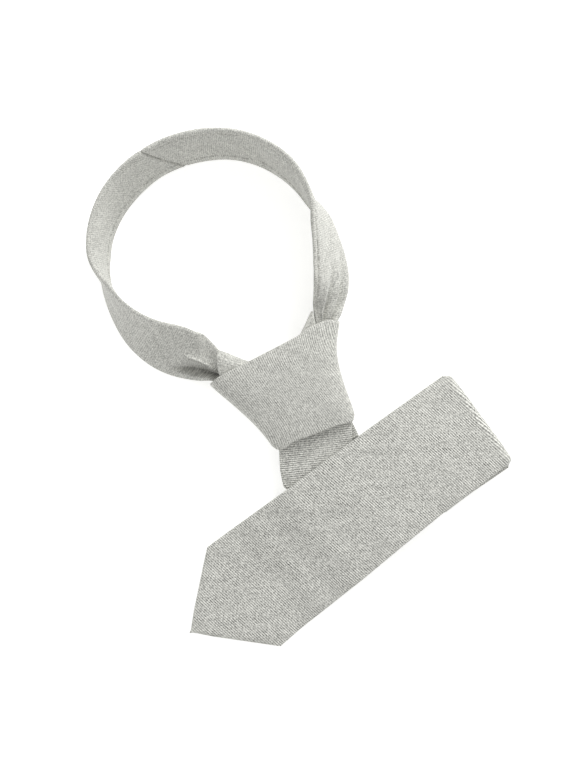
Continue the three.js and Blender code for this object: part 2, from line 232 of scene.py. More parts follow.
# Points closer than this many metres become one, which joins the grid to itself.
MERGE = 1e-7
# The two tracks, as a share of the half width, and the upper face's lowest height in millimetres.
TRACK = 0.9
TOP_LOWEST = 0.6


def swell(middle):
    x, y, z = middle[..., 0], middle[..., 1], middle[..., 2]
    return SWELL_HEIGHT * sum(np.sin(x / a + y / b + z / c) for a, b, c in SWELL_WAVES)


def soft_swell(middle, side, flat_across, half_width):
    return swell(middle)


def strip(name, place, half, ring, closed=False, relief=soft_swell, anchor=0.5, edge_share=0.6,
          closing=lambda row: 1.0):
    rows, length = even_rows(place)
    across, facing = ring[:, 0][None, :], ring[:, 1][None, :]
    row = rows[:, None]
    middle = place(row, across)
    ahead = place(row + NUDGE if closed else np.minimum(1, row + NUDGE), across)
    behind = place(row - NUDGE if closed else np.maximum(0, row - NUDGE), across)
    crosswise = place(row, np.minimum(1, across + NUDGE))
    crosswise = crosswise - place(row, np.maximum(-1, across - NUDGE))
    crosswise /= np.linalg.norm(crosswise, axis=2, keepdims=True)
    normal = np.cross(ahead - behind, crosswise)
    normal /= np.linalg.norm(normal, axis=2, keepdims=True)

    tracks = place(row, np.array([[-TRACK, TRACK]]))
    flat_left, flat_right = roll_out(tracks[:, 0], tracks[:, 1], anchor)
    half_width = np.linalg.norm(flat_right - flat_left, axis=1)[:, None] / (2 * TRACK)
    radius = half(row) * np.ones_like(across)
    walked = across * half_width + np.sign(across) * (math.pi / 2 - np.abs(facing)) * radius
    flat_middle = (flat_left + flat_right)[:, None] / 2
    flat_way = (flat_right - flat_left)[:, None] / (2 * TRACK * half_width[..., None])
    flat = flat_middle + flat_way * walked[..., None]

    side = np.sin(facing) * np.ones_like(row)
    raised = relief(middle, side, across * half_width, half_width) * np.abs(side)
    flatter = mix(1, edge_share, np.abs(across) ** EDGE_POWER)
    points = middle + crosswise * (across * np.cos(facing) * radius)[..., None]
    points += normal * (side * (radius * flatter + raised) * closing(row))[..., None]
    lowest = np.where(side * normal[..., 2] > 0, TOP_LOWEST, 0)
    points[..., 2] = np.maximum(points[..., 2], lowest)

    bm = bmesh.new()
    bmesh.ops.create_grid(bm, x_segments=len(rows) - 1, y_segments=len(ring) - 1, size=1)
    spots = np.array([vert.co[:2] for vert in bm.verts])
    at_row = np.rint((spots[:, 0] + 1) / 2 * (len(rows) - 1)).astype(int)
    at_ring = np.rint((spots[:, 1] + 1) / 2 * (len(ring) - 1)).astype(int)
    front_of, facing_of = flat[at_row, at_ring] * MM, ring[at_ring, 1]
    back_of = front_of * (-1, 1)
    for vert, co in zip(bm.verts, points[at_row, at_ring] * MM):
        vert.co = co
    layer = bm.loops.layers.uv.new("cloth")
    for face in bm.faces:
        face.smooth = True
        on_front = sum(facing_of[vert.index] for vert in face.verts) > 0
        for loop in face.loops:
            loop[layer].uv = (front_of if on_front else back_of)[loop.vert.index]
    bmesh.ops.remove_doubles(bm, verts=bm.verts, dist=MERGE)
    if not closed:
        rims = [edge for edge in bm.edges if edge.is_boundary]
        bmesh.ops.holes_fill(bm, edges=rims, sides=0)
    bmesh.ops.recalc_face_normals(bm, faces=bm.faces)
    mesh = bpy.data.meshes.new(name)
    bm.to_mesh(mesh)
    bm.free()
    piece = bpy.data.objects.new(name, mesh)
    scene.collection.objects.link(piece)
    width = 2 * float(np.mean(half_width))
    print(f"{name}: {len(mesh.polygons)} faces, {length:.0f} mm long, about {width:.0f} mm wide")
    return piece, width * MM, length * MM


# %% [markdown]
# ## The neck band
#
# The narrow part of the tie goes round the neck. On the table it stands half on edge: over the
# top of the loop it leans outwards and shows its neck side, and near the knot it leans inwards
# and shows its outer face. The table gives, for each bearing from the loop's centre in degrees,
# the radius of the lower edge (the foot) and of the upper edge (the rim), the height of the lower
# edge, and how much of the width the pleats leave. All lengths are in millimetres.

# %% The band's path
BAND_WIDTH = 30.0
BAND_THICKNESS = 3.0
BAND_THICKNESS_IN_KNOT = 2.2
LOOP_CENTRE = (-42.7, 61.4)

BAND = np.array([
    # bearing, foot, rim, lift, gather
    (286, 63.5, 55.5, 8.0, 0.33),
    (276, 58.7, 46.0, 8.3, 0.5),
    (270, 57.2, 40.4, 7.2, 0.64),
    (264, 57.4, 37.1, 4.8, 0.8),
    (257, 57.4, 36.5, 2.4, 0.93),
    (249, 57.7, 36.1, 1.5, 1),
    (240, 57.7, 37.2, 1.5, 1),
    (228, 57.0, 40.4, 1.5, 1),
    (215, 55.6, 44.2, 1.5, 1),
    (203, 54.4, 47.8, 1.5, 1),
    (194, 53.2, 50.6, 1.5, 1),
    (186, 52.3, 54.8, 1.5, 1),
    (178, 51.2, 57.8, 1.5, 1),
    (168, 51.0, 59.3, 1.5, 1),
    (155, 50.4, 60.3, 1.5, 1),
    (140, 49.6, 60.9, 1.5, 1),
    (120, 49.8, 60.9, 1.5, 1),
    (100, 50.4, 61.3, 1.5, 1),
    (80, 52.2, 62.2, 1.5, 1),
    (65, 53.5, 62.1, 1.5, 1),
    (50, 54.4, 61.0, 1.5, 1),
    (40, 55.1, 58.7, 1.5, 1),
    (33, 56.0, 57.0, 1.5, 1),
    (27, 58.0, 55.0, 1.5, 1),
    (20, 60.8, 52.4, 1.5, 1),
    (10, 62.4, 50.9, 1.5, 1),
    (0, 64.7, 50.5, 1.5, 1),
    (-5, 65.9, 50.9, 1.5, 1),
    (-12, 66.9, 51.8, 1.5, 0.96),
    (-18, 67.0, 53.0, 2.4, 0.8),
    (-22.5, 67.3, 54.2, 4.4, 0.62),
    (-26, 66.9, 56.1, 6.5, 0.46),
    (-30, 67.3, 59.0, 8.0, 0.34),
    (-38, 70.0, 63.4, 8.5, 0.265),
])
BEARING, FOOT, RIM, LIFT, GATHER = BAND.T
print("band rows:", len(BAND))

# %% [markdown]
# The knot squeezes the band, and the cloth answers with pleats that grow towards it. Each pleat
# is one valley or ridge along the band. Its bearings say where it starts, where it is deepest and
# where the knot has pressed it flat again. Then come its place across the band, from -1 at the
# foot to 1 at the rim, at its start and where it is deepest, its width to either side, and its
# depth. Both faces move together: a depth above zero is a valley in the outer face, which is seen
# beside the knot, and one below zero is a ridge.

# %% The pleats beside the knot
PLEATS = [
    # from, full, flat, across, across when full, width to the rim, width to the foot, depth
    (240, 266, 288, 0.16, -0.08, 0.16, 0.16, -0.7),
    (250, 268, 284, -0.98, -0.98, 0.16, 0.16, -0.9),
    (2, -25, -36, 0.45, 0.5, 0.1, 0.1, -1.2),
    (4, -25, -36, 0.1, 0.1, 0.14, 0.14, 2.4),
    (6, -25, -36, -0.28, -0.28, 0.1, 0.08, -1.4),
    (10, -25, -36, -0.6, -0.62, 0.14, 0.2, 3.4),
]
# On the left the cloth is tucked under: it breaks at a crease, slopes down into a slot, and comes
# up again in a narrow lip.
TUCKS = [
    # from, full, flat, crease, crease at the knot, slot, slot at the knot, lip's width, depth
    (246, 266, 292, 0.0, -0.44, -0.7, -0.9, 0.09, 7.0),
]
# The tuck's lines bend, with this power, towards their places at the knot's edge.
KNOT_FROM = 275
TUCK_BEND = 1.5
# Depths are in millimetres, and widths are shares of the band's half width.
CREASE_DEPTH = 2.0
CREASE_WIDTH = 0.05
# A fine ridge runs beside the crease, this many crease widths nearer to the rim.
RIDGE_FROM_CREASE = 2
SLOT_DEPTH = 2.6
# A softer fold crosses the top of the band, from its rim to its foot. It is a valley in the neck
# side, so its depth is below zero.
CROSS_FOLDS = [
    # bearing at the foot, bearing at the rim, width in degrees, depth
    (60, 76, 6, -1.1),
]


def pleat_depth(bearing, across):
    depth = 0
    for at_foot, at_rim, width, deep in CROSS_FOLDS:
        away = (bearing - mix(at_foot, at_rim, (across + 1) / 2)) / width
        depth = depth + deep * np.exp(-away * away) * (1 - across**4)
    for start, full, flat, centre, full_centre, rimward, footward, deep in PLEATS:
        along = np.clip((bearing - start) / (full - start), 0, 1)
        pressed = smooth((bearing - full) / (flat - full))
        away = across - mix(centre, full_centre, along)
        away = away / np.where(away > 0, rimward, footward)
        depth = depth + deep * smooth(along) * (1 - pressed) * np.exp(-away * away)
    for start, full, flat, crease, full_crease, slot, full_slot, lip, deep in TUCKS:
        along = np.clip((bearing - start) / (full - start), 0, 1)
        pressed = smooth((bearing - full) / (flat - full))
        near = np.clip((bearing - start) / (KNOT_FROM - start), 0, 1) ** TUCK_BEND
        top, bottom = mix(crease, full_crease, near), mix(slot, full_slot, near)
        slope = np.minimum((top - across) / (top - bottom), (across - bottom + lip) / lip)
        scored = np.exp(-(((across - top) / CREASE_WIDTH) ** 2))
        scored -= np.exp(-(((across - top) / CREASE_WIDTH - RIDGE_FROM_CREASE) ** 2))
        slotted = np.exp(-(((across - bottom) / CREASE_WIDTH) ** 2))
        depth = depth + (deep * np.clip(slope, 0, 1) + CREASE_DEPTH * scored
                         + SLOT_DEPTH * slotted) * smooth(along) * (1 - pressed)
    return depth


def band_point(bearing, across):
    foot = read_curve(BEARING, FOOT, bearing)
    rim = read_curve(BEARING, RIM, bearing)
    lift = np.maximum(BAND_THICKNESS / 2, read_curve(BEARING, LIFT, bearing))
    width = (BAND_WIDTH - BAND_THICKNESS) * read_curve(BEARING, GATHER, bearing)
    run = rim - foot
    rise = np.sqrt(np.maximum(0, width * width - run * run))
    share = (across + 1) / 2
    radius = mix(foot, rim, share)
    height = mix(lift, lift + rise, share)
    angle = np.radians(bearing)
    x = LOOP_CENTRE[0] + radius * np.cos(angle)
    y = LOOP_CENTRE[1] + radius * np.sin(angle)
    return np.stack(np.broadcast_arrays(x, y, height), axis=-1)


print("top of the loop, mm:", band_point(np.array(90.0), np.array(1.0)).round(1))

# %% [markdown]
# A tie is too long for one cut of cloth on the bias, so two lengths are joined by a slanting seam
# on the neck. It is left open here between the two pieces of the band: each end is rolled in, and
# the two rolls meet in a fine groove.
#
# On the neck side the shell's edge laps over near the foot, and the iron has pressed a line along
# the rim. Where the band stands upright on its foot, it puffs out and shows both its sides.

# %% The band's two lengths
# The seam's bearings at the band's two edges, and how far it bends between them.
SEAM_AT_FOOT = 105.5
SEAM_AT_RIM = 122.5
SEAM_BEND = 0.35
SEAM_GAP = 0.05
# Each end is rolled in over this length. A small share of it is left, so the end keeps some height.
SEAM_ROLL = 1.2
SEAM_LEAST_SHARE = 0.02
SEAM_ROW = int(np.argmax(BEARING < (SEAM_AT_FOOT + SEAM_AT_RIM) / 2))
# The lap of the shell's edge and the pressed line along the rim, in millimetres.
LAP_FROM_FOOT = 5.7
LAP_STEP = 0.6
LAP_HEIGHT = 0.5
RIM_PRESS = 3.4
RIM_GROOVE = 0.4
RIM_GROOVE_WIDTH = 0.6
PUFFS = [
    # bearing, width in degrees, height
    (192, 9, 0.8),
    (27, 7, 1.2),
]
# Where the rim is rolled over: bearing, width in degrees, drop at the edge.
RIM_DROP = (188, 26, 1.4)
# Where the outer face has a pressed line along the rim too: bearing, width in degrees, depth.
OUTER_PRESS = (4, 30, 1.2)
OUTER_PRESS_FROM_RIM = 2.2
# Bearings between which the band is squeezed to its thickness in the knot, at the left and right.
SQUEEZE = ((252, 270), (-10, -25))
# The table's bearings go from -38 to 286, so a measured one below this is a full turn too low.
TABLE_FROM = -60
BAND_COLUMNS, BAND_EDGE_STEPS = 100, 10
BAND_EDGE_SHARE = 0.8
LEFT_ANCHOR, RIGHT_ANCHOR = 0.6, 0.35


def table_bearing(position):
    return np.interp(position, np.arange(len(BEARING)), BEARING)


def seam_bearing(across):
    down = (1 - across) / 2
    return SEAM_AT_RIM + (SEAM_AT_FOOT - SEAM_AT_RIM) * mix(down, down**3, SEAM_BEND)


# Only the half of a length that is next to the seam leans with it.
def band_bearing(row, across, seam_first):
    start, end = (SEAM_ROW, len(BEARING) - 1) if seam_first else (0, SEAM_ROW)
    plain = table_bearing(mix(start, end, row))
    near_seam = 1 - row if seam_first else row
    gap = math.degrees(SEAM_GAP / 2 / FOOT[SEAM_ROW]) * (-1 if seam_first else 1)
    shift = seam_bearing(across) + gap - BEARING[SEAM_ROW]
    return plain + shift * smooth(near_seam * 2 - 1)


def band_half(bearing):
    (left_from, left_to), (right_from, right_to) = SQUEEZE
    left = smooth((bearing - left_from) / (left_to - left_from))
    right = smooth((bearing - right_from) / (right_to - right_from))
    return mix(BAND_THICKNESS, BAND_THICKNESS_IN_KNOT, np.maximum(left, right)) / 2


def neck_band(name, seam_first):
    def place(row, across):
        return band_point(band_bearing(row, across, seam_first), across)

    def half(row):
        return band_half(band_bearing(row, 0.0, seam_first))

    def closing(row):
        away = np.abs(band_bearing(row, 0.0, seam_first) - seam_bearing(0.0))
        share = np.radians(away) * FOOT[SEAM_ROW] / SEAM_ROLL
        share = np.clip(share, SEAM_LEAST_SHARE, 1)
        return np.sqrt(1 - (1 - share) ** 2)

    def relief(middle, side, flat_across, half_width):
        from_foot = flat_across + half_width + BAND_THICKNESS / 2
        from_rim = half_width - flat_across + BAND_THICKNESS / 2
        lap = LAP_HEIGHT * (1 - smooth((from_foot - LAP_FROM_FOOT) / LAP_STEP))
        press = -RIM_GROOVE * np.exp(-(((from_rim - RIM_PRESS) / RIM_GROOVE_WIDTH) ** 2))
        x, y = middle[..., 0] - LOOP_CENTRE[0], middle[..., 1] - LOOP_CENTRE[1]
        bearing = np.degrees(np.arctan2(y, x))
        bearing = np.where(bearing < TABLE_FROM, bearing + 360, bearing)
        fold = pleat_depth(bearing, flat_across / half_width)

        def near(at, width, amount):
            away = ((bearing - at + 180) % 360 - 180) / width
            return amount * np.exp(-away * away)

        share = np.clip(from_foot / (2 * half_width), 0, 1)
        puff = sum(near(*row) for row in PUFFS) * (1 - share**2)
        drop = near(*RIM_DROP) * np.clip(1 - from_rim / RIM_PRESS, 0, 1)
        from_line = (from_rim - OUTER_PRESS_FROM_RIM) / RIM_GROOVE_WIDTH
        outer = -near(*OUTER_PRESS) * np.exp(-from_line * from_line)
        neck_side, outer_face = lap + press - drop + fold, outer - fold
        return np.where(side > 0, neck_side, outer_face) + puff + swell(middle)

    return strip(name, place, half, way_round(BAND_COLUMNS, BAND_EDGE_STEPS), relief=relief,
                 anchor=RIGHT_ANCHOR if seam_first else LEFT_ANCHOR, edge_share=BAND_EDGE_SHARE,
                 closing=closing)


band_left = neck_band("neck_band_left_cloth", False)
band_right = neck_band("neck_band_right_cloth", True)

# %% [markdown]
# ## The knot
#
# The knot is wider at the top than at the bottom and stands a little askew. Its front is one pass
# of the blade, so it is a closed ring of the same ribbon. Its section is a rounded box: a plain
# ellipse would make the knot look like a bead, and a box like a matchbox. The tables are in the
# knot's own frame, with its axis turned from the picture's.

# %% The knot's frame and outline
KNOT_CENTRE = (-7.9, 1.1)
KNOT_TURN = math.radians(23)
KNOT_ROUNDNESS = 0.62
WRAP_THICKNESS = 2.2
WRAP_GAP = 0.3
EDGE_STEPS = 8

ALONG, KNOT_LEFT, KNOT_RIGHT, KNOT_FRONT = np.array([
    (-29, -16.9, 26.9, 14.6),
    (-21, -17.7, 27.1, 16.4),
    (-11, -20.9, 27.6, 18.2),
    (0, -25.8, 29.2, 19.6),
    (7, -29.4, 31.3, 20.0),
    (14, -33.1, 35.2, 20.1),
    (21, -36.6, 40.2, 20.0),
    (30, -40.5, 44.0, 19.6),
]).T
TOP_SHARE, TOP_ALONG = np.array([
    (0, 14.6), (0.1, 16.0), (0.32, 17.0), (0.685, 19.1), (0.78, 20.7), (0.9, 20.8), (1, 18.2),
]).T
BOTTOM_SHARE, BOTTOM_ALONG = np.array([
    (0, -25.5), (0.03, -27.8), (0.1, -28.7), (0.24, -27.5), (0.5, -28.0), (0.76, -28.3),
    (0.96, -29.4), (1, -27.3),
]).T


def from_knot(across, along, height):
    x = KNOT_CENTRE[0] + across * math.cos(KNOT_TURN) - along * math.sin(KNOT_TURN)
    y = KNOT_CENTRE[1] + across * math.sin(KNOT_TURN) + along * math.cos(KNOT_TURN)
    return np.stack(np.broadcast_arrays(x, y, height), axis=-1)


# %% [markdown]
# Equal steps of angle would crowd the ring's points at the corners of the rounded box. So the
# section is walked once in fine steps, and the rows are read back by the length walked.

# %% The way round the knot
SECTION_POWER = 2 / KNOT_ROUNDNESS
KNOT_HALF_WIDE = 33.0
KNOT_HALF_DEEP = 9.0
WRAP_COLUMNS = 60
# The ring starts and ends at the middle of its back, where the joint is out of sight.
WRAP_START = -0.25
SECTION_STEPS = 7200
fine_angle = np.linspace(0, 2 * math.pi, SECTION_STEPS + 1)


def rounded_box(angle):
    c, s = np.cos(angle), np.sin(angle)
    reach = (np.abs(c) ** SECTION_POWER + np.abs(s) ** SECTION_POWER) ** (-1 / SECTION_POWER)
    return reach * c, reach * s


fine_x, fine_y = rounded_box(fine_angle)
fine_steps = np.hypot(np.diff(fine_x) * KNOT_HALF_WIDE, np.diff(fine_y) * KNOT_HALF_DEEP)
fine_walked = np.append(0, np.cumsum(fine_steps))
fine_walked /= fine_walked[-1]
print(f"round the knot: {fine_steps.sum():.0f} mm")


def wrap_half(row):
    return np.full_like(row, WRAP_THICKNESS / 2)


def wrap_point(row, across):
    side, rise = rounded_box(np.interp((row + WRAP_START) % 1.0, fine_walked, fine_angle))
    half = WRAP_THICKNESS / 2
    from_left = (side + 1) / 2
    bottom = read_curve(BOTTOM_SHARE, BOTTOM_ALONG, from_left) + half
    top = read_curve(TOP_SHARE, TOP_ALONG, from_left) - half
    along = mix(bottom, top, (across + 1) / 2)
    left = read_curve(ALONG, KNOT_LEFT, along) + half
    right = read_curve(ALONG, KNOT_RIGHT, along) - half
    middle = read_curve(ALONG, KNOT_FRONT, along) / 2
    height = middle + (middle - half) * rise
    return from_knot(mix(left, right, from_left), along, height)


front_wrap = strip(
    "knot_front_wrap_cloth", wrap_point, wrap_half, way_round(WRAP_COLUMNS, EDGE_STEPS),
    closed=True)

# %% [markdown]
# ## The wrap inside the knot
#
# Before the front pass, the blade goes over the two ends of the band. That pass shows as a small
# triangle on each side of the notch. It is a saddle: a flap in front, a roll over the top, and a
# flap behind. Only its rolled rim is seen, so the rim is read from a table and the flaps are
# plain.

# %% The inner wrap
INNER_ACROSS, INNER_ALONG = np.array([
    (-22.0, 28.1), (-10.3, 16.6), (2.5, 14.0), (15.5, 18.4), (21.1, 22.6), (26.4, 27.8),
]).T
# The flaps' lower edge: its left and right place across the knot, and its place along it.
INNER_FOOT = (-21.0, 14.0, 4.0)
# How far the left and the right edge bulge on their way up, and how far the roll stands out.
INNER_BULGE = (-4.0, 3.0)
INNER_ROLL = 3.4
# The roll takes the middle of the way over the top, from this share of it on.
ROLL_FROM = 0.36
# The front wrap is thinnest at its sides, so its depth is read no nearer to them than this.
NEAR_SIDE = 0.98
INNER_COLUMNS = 50


def inside_depth(across, along):
    half = WRAP_THICKNESS / 2
    left = read_curve(ALONG, KNOT_LEFT, along) + half
    right = read_curve(ALONG, KNOT_RIGHT, along) - half
    side = np.minimum(NEAR_SIDE, np.abs((across - (left + right) / 2) / ((right - left) / 2)))
    rounded = (1 - side ** (2 / KNOT_ROUNDNESS)) ** (KNOT_ROUNDNESS / 2)
    return (read_curve(ALONG, KNOT_FRONT, along) / 2 - half) * rounded - WRAP_THICKNESS - WRAP_GAP


def inner_point(row, across):
    row = 1 - row
    from_left = (across + 1) / 2
    rim_across = mix(INNER_ACROSS[0], INNER_ACROSS[-1], from_left)
    rim_along = read_curve(INNER_ACROSS, INNER_ALONG, rim_across) - WRAP_THICKNESS / 2
    foot_across = mix(INNER_FOOT[0], INNER_FOOT[1], from_left)
    rolling = np.clip((row - ROLL_FROM) / (1 - 2 * ROLL_FROM), 0, 1) * math.pi
    up = np.clip(np.minimum(row, 1 - row) / ROLL_FROM, 0, 1)
    along = mix(INNER_FOOT[2], rim_along - INNER_ROLL, up) + INNER_ROLL * np.sin(rolling)
    climb = (along - INNER_FOOT[2]) / (rim_along - INNER_FOOT[2])
    bulge = mix(*INNER_BULGE, from_left) * np.sin(climb * math.pi)
    sideways = mix(foot_across, rim_across, climb) + bulge * np.abs(across)
    middle = read_curve(ALONG, KNOT_FRONT, along) / 2
    height = middle + inside_depth(sideways, along) * np.cos(rolling)
    return from_knot(sideways, along, height)


inner_wrap = strip(
    "knot_inner_wrap_cloth", inner_point, wrap_half, way_round(INNER_COLUMNS, EDGE_STEPS))

# %% [markdown]
# ## The blades
#
# The front blade leaves the knot as a short tab, folds under, runs up to the right on the table,
# folds back over itself and ends in a point. The narrow tail lies behind it. Both are ribbons
# through rows of outline: where the cloth's left and right edge is, and how high. On a fold the
# cloth follows half a circle that stands on the fold line, and the circle dies away at the two
# corners of the fold.

# %% The blades' rows
BLADE_THICKNESS = 2.4
TAIL_THICKNESS = 2.0
# A fold's half circle dies away at its corners with this power of the place across.
CORNER_POWER = 70
# Each rounded edge takes at most this share of the width.
EDGE_SHARE_LIMIT = 0.45
# At its point the cloth thins to this share, over this share of the last stretch.
POINT_THICKNESS = 0.25
POINT_TAPER = 0.25

BLADE = [
    # left edge, right edge, steps to the next row, fold
    ((-16.2, -12.5, 9.6), (15.9, -1.8, 9.6), 2, False),
    ((-13.3, -21.7, 9.2), (21.2, -9.6, 9.2), 2, False),
    ((-10.0, -29.5, 8.6), (25.5, -17.6, 8.6), 3, False),
    ((-9.4, -40.3, 7.3), (25.9, -28.1, 7.3), 4, False),
    ((-8.3, -46.0, 6.2), (42.3, -74.9, 6.2), 6, True),
    ((-8.3, -46.0, 3.5), (42.3, -74.9, 3.5), 3, False),
    ((35.5, -25.8, 3.5), (71.7, -60.9, 3.5), 3, False),
    ((50.3, -13.1, 1.2), (84.9, -51.3, 1.2), 1, False),
    ((70.2, 4.5, 1.2), (102.6, -39.2, 1.2), 10, True),
    ((70.1, 5.8, 6.4), (101.8, -37.5, 6.4), 4, False),
    ((35.1, -19.0, 10.1), (71.1, -60.5, 7.4), 2, False),
    ((14.8, -34.1, 10.1), (50.8, -76.9, 8.9), 2, False),
    ((-4.5, -48.5, 9.4), (32.4, -92.4, 7.4), 3, False),
    ((-21.6, -61.0, 4.8), (15.0, -106.6, 3.8), 3, False),
    ((-34.9, -70.7, 1.7), (1.3, -117.6, 1.5), 1, False),
    ((-45.1, -78.2, 1.2), (-9.2, -126.8, 1.2), 6, False),
    ((-53.8, -119.9, 1.2), (-53.3, -120.4, 1.2), 0, False),
]
TAIL_IN_KNOT = [
    # along, left, right, height, steps
    (-6, -7.0, 19.0, 6.0, 2),
    (-20, -8.5, 22.0, 6.0, 2),
    (-29, -9.4, 24.0, 5.8, 3),
    (-36.5, -9.6, 24.3, 4.9, 3),
    (-41.5, -9.8, 24.4, 1.0, 3),
    (-71, -10.2, 24.8, 1.0, 4),
    (-88, 7.1, 7.5, 1.0, 0),
]
TAIL = [
    (from_knot(left, along, height), from_knot(right, along, height), steps, False)
    for along, left, right, height, steps in TAIL_IN_KNOT
]


# %% Helper: a place on a ribbon
def ribbon(table, thickness):
    lefts = np.array([row[0] for row in table], float)
    rights = np.array([row[1] for row in table], float)
    steps = np.array([row[2] for row in table], float)
    folds = np.array([row[3] for row in table])
    starts = np.append(0, np.cumsum(steps))[:-1]
    total = steps.sum()
    half = thickness / 2
    lines = rights - lefts
    lines[:, 2] = 0
    lines /= np.linalg.norm(lines, axis=1, keepdims=True)
    outward = np.stack([-lines[:, 1], lines[:, 0], lines[:, 2]], axis=1)
    travel = lefts - np.roll(lefts, 1, axis=0)
    outward *= np.where(np.sum(outward * travel, axis=1) < 0, -1, 1)[:, None]

    def place(row, across):
        at = row * total
        index = np.clip(np.searchsorted(starts, at, side="right") - 1, 0, len(table) - 2)
        share = ((at - starts[index]) / steps[index])[..., None]
        left = mix(lefts[index], lefts[index + 1], share)
        right = mix(rights[index], rights[index + 1], share)
        eased = smooth(share)
        left[..., 2:] = mix(lefts[index][..., 2:], lefts[index + 1][..., 2:], eased)
        right[..., 2:] = mix(rights[index][..., 2:], rights[index + 1][..., 2:], eased)
        width = np.linalg.norm(right - left, axis=-1, keepdims=True)
        inset = np.minimum(half, width * EDGE_SHARE_LIMIT) / width
        point = mix(left, right, mix(inset, 1 - inset, ((across + 1) / 2)[..., None]))
        climb = lefts[index + 1][..., 2] - lefts[index][..., 2]
        radius = np.abs(climb) / 2
        turned = share[..., 0] * math.pi
        bulge = outward[index] * (radius * np.sin(turned))[..., None]
        height = (lefts[index + 1][..., 2] + lefts[index][..., 2]) / 2 - climb / 2 * np.cos(turned)
        folding = folds[index]
        corner = 1 - np.abs(across)[..., None] ** CORNER_POWER
        point = np.where(folding[..., None], point + bulge * corner, point)
        point[..., 2] = np.where(folding, height, point[..., 2])
        return point

    def half_thickness(row):
        left_over = np.clip((total - row * total) / steps[-2], 0, 1)
        return half * mix(POINT_THICKNESS, 1, np.clip(left_over / POINT_TAPER, 0, 1))

    return place, half_thickness


# %% [markdown]
# The shell's two edges meet down the middle of a blade's back, where one laps over the other. The
# lap could be a second strip of cloth, but it is so thin that a small step in the back face is
# enough: the face sinks at once beside the lap's edge, and rises slowly again further out.

# %% The front blade and the tail
# The step's depth, where it starts and ends, and where it fades, in millimetres across.
BACK_LAP = 0.3
BACK_LAP_FROM = -0.4
BACK_LAP_STEP = 0.5
BACK_LAP_TO = 1
BACK_LAP_FADE = 6
ON_THE_BACK = -0.5
BLADE_COLUMNS, TAIL_COLUMNS = 60, 44
BLADE_ANCHOR, TAIL_ANCHOR = 0.8, 0.5


def back_seam(middle, side, flat_across, half_width):
    stepped = smooth((flat_across - BACK_LAP_FROM) / BACK_LAP_STEP)
    faded = 1 - smooth((flat_across - BACK_LAP_TO) / BACK_LAP_FADE)
    return np.where(side < ON_THE_BACK, -BACK_LAP * stepped * faded, 0) + swell(middle)


blade_place, blade_half = ribbon(BLADE, BLADE_THICKNESS)
front_blade = strip(
    "front_blade_cloth", blade_place, blade_half, way_round(BLADE_COLUMNS, EDGE_STEPS),
    relief=back_seam, anchor=BLADE_ANCHOR)
tail_place, tail_half = ribbon(TAIL, TAIL_THICKNESS)
tail_blade = strip(
    "tail_blade_cloth", tail_place, tail_half, way_round(TAIL_COLUMNS, EDGE_STEPS),
    relief=back_seam, anchor=TAIL_ANCHOR)

# %% [markdown]
# ## The cloth
#
# The shell is a light grey wool and silk twill, woven from heathered yarn and cut on the bias.
# What the eye gets is a soft matt grey, fine diagonal lines, and slightly darker and lighter
# threads that run as short streaks. A texture image could carry that, but a few procedural nodes
# keep it sharp at any distance and let it follow the flat cloth's UV map.

# %% Helpers for materials
def to_linear(hex_colour):
    parts = [int(hex_colour[i:i + 2], 16) / 255 for i in (1, 3, 5)]
    return (*[c / 12.92 if c <= 0.04045 else ((c + 0.055) / 1.055) ** 2.4 for c in parts], 1)


def add_node(tree, kind, settings=None, links=None):
    node = tree.nodes.new(kind)
    for key, value in (settings or {}).items():
        if isinstance(key, str) and hasattr(node, key):
            setattr(node, key, value)
        else:
            node.inputs[key].default_value = value
    for key, source in (links or {}).items():
        tree.links.new(source, node.inputs[key])
    return node


LIGHT_GREY = "#bfbfb9"
print("light grey in linear light:", [round(c, 3) for c in to_linear(LIGHT_GREY)[:3]])

# %% [markdown]
# Every yarn is a noise that is long one way and fine the other, in the flat cloth's millimetres.
# The warp runs aslant, because the cloth is cut on the bias, and the twill's lines run at 45
# degrees to it. Each crossing of two yarns gets a shade of its own, as heathered yarn does.
#
# The real lines are about 0.9 mm apart, under two pixels in the picture, and are drawn every 1.04
# mm so that they show. Real yarns cross about every 0.2 mm. Their crossings are drawn at 0.38 by
# 0.43 mm, just under a pixel, and give the fine speckle of the photographed cloth.

# %% The twill
WALE_SPACING = 1.04
WARP_TURN = math.radians(-35.8)
# Crossings for each millimetre across the warp and along it.
CROSSINGS = (2.6, 2.3, 1.0)
# How far the twill's lines wander, in radians of their wave.
WOBBLE = 3.0
# The lines stand 0.05 mm proud, and the warp yarns show in them a little.
WALE_BUMP = 0.00005
WARP_IN_BUMP = 0.6
BUMP_STRENGTH = 0.6
# The wobble bends the lines, the patches make them come and go, and slubs are thicker stretches.
NOISES = {
    # changes per mm across the warp, and along it, detail, seed
    "wobble": (0.03, 0.08, 1, 3.0),
    "patches": (0.3, 0.04, 1, 7.0),
    "warp": (1.9, 0.14, 2, 11.0),
    "weft": (0.14, 1.9, 2, 23.0),
    "slubs": (0.25, 0.035, 2, 37.0),
}


